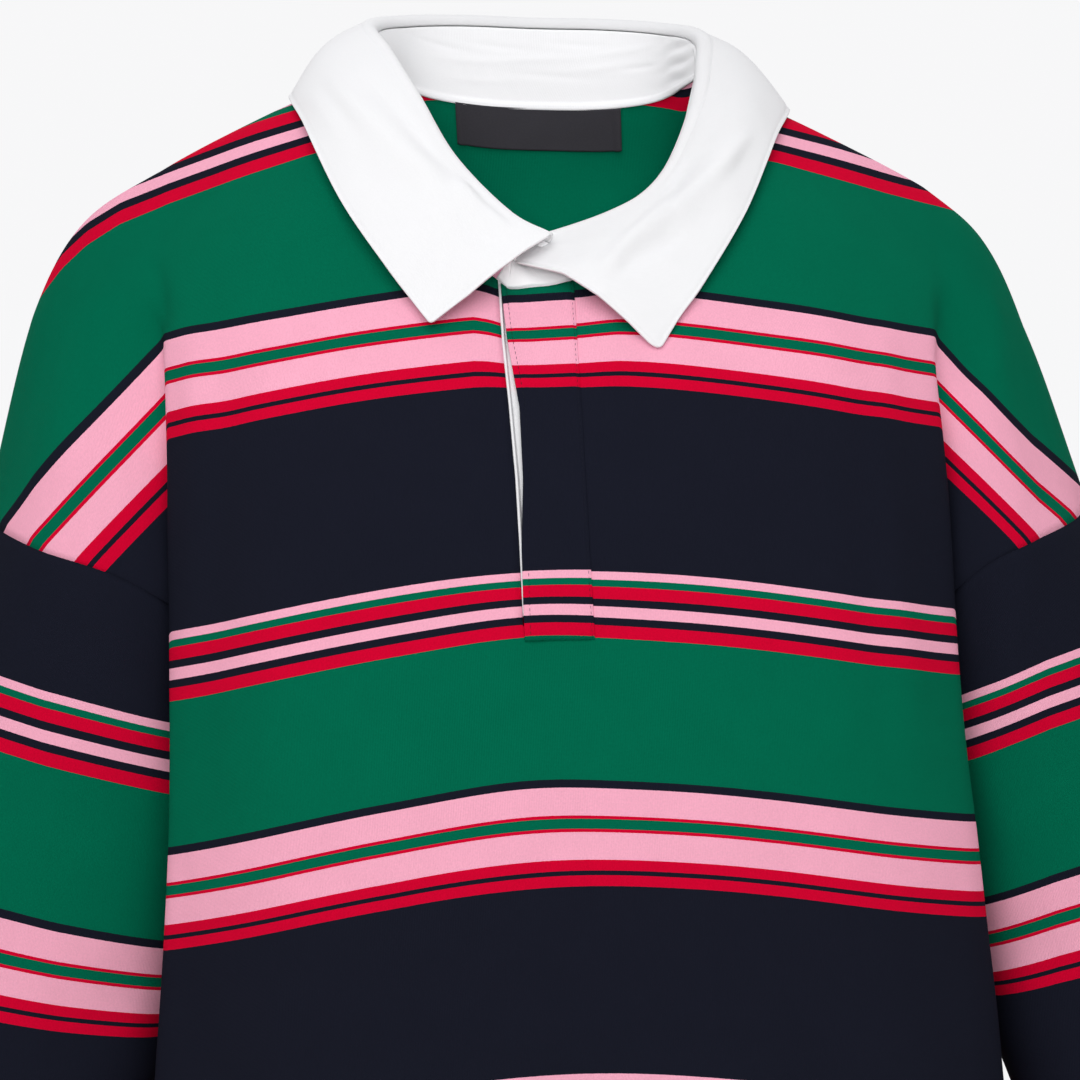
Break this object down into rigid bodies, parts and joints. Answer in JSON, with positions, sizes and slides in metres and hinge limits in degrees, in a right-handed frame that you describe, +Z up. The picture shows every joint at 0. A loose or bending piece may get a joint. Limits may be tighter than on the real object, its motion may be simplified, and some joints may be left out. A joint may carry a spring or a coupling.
{
  "type": "rugby shirt",
  "caption": "Long-sleeved rugby shirt with horizontal stripes, white turn-down collar, slit placket and plain cuffs, filled out as worn.",
  "frame": {"origin": "midway between the high points of the two shoulders, where the wearer's shoulders hold the shirt", "axes": "+Z up, -Y out of the front, +X to the wearer's left, which is the viewer's right"},
  "size_m": [0.7376, 0.243, 0.7931],
  "materials": {
    "striped_jersey": "fine matte cotton jersey, striped in navy, green, red and pink",
    "cuff_jersey": "navy matte cotton jersey",
    "white_twill": "white matte cotton twill",
    "label_satin": "black woven label, bare"
  },
  "bodies": {
    "root": {"front_panel": "striped_jersey", "back_panel": "striped_jersey", "sleeve_left": "striped_jersey", "sleeve_right": "striped_jersey", "cuff_left": "cuff_jersey", "cuff_right": "cuff_jersey", "placket": "striped_jersey", "under_placket": "white_twill", "collar_stand": "white_twill", "collar_fall": "white_twill", "neck_label": "label_satin"}
  },
  "joints": []
}
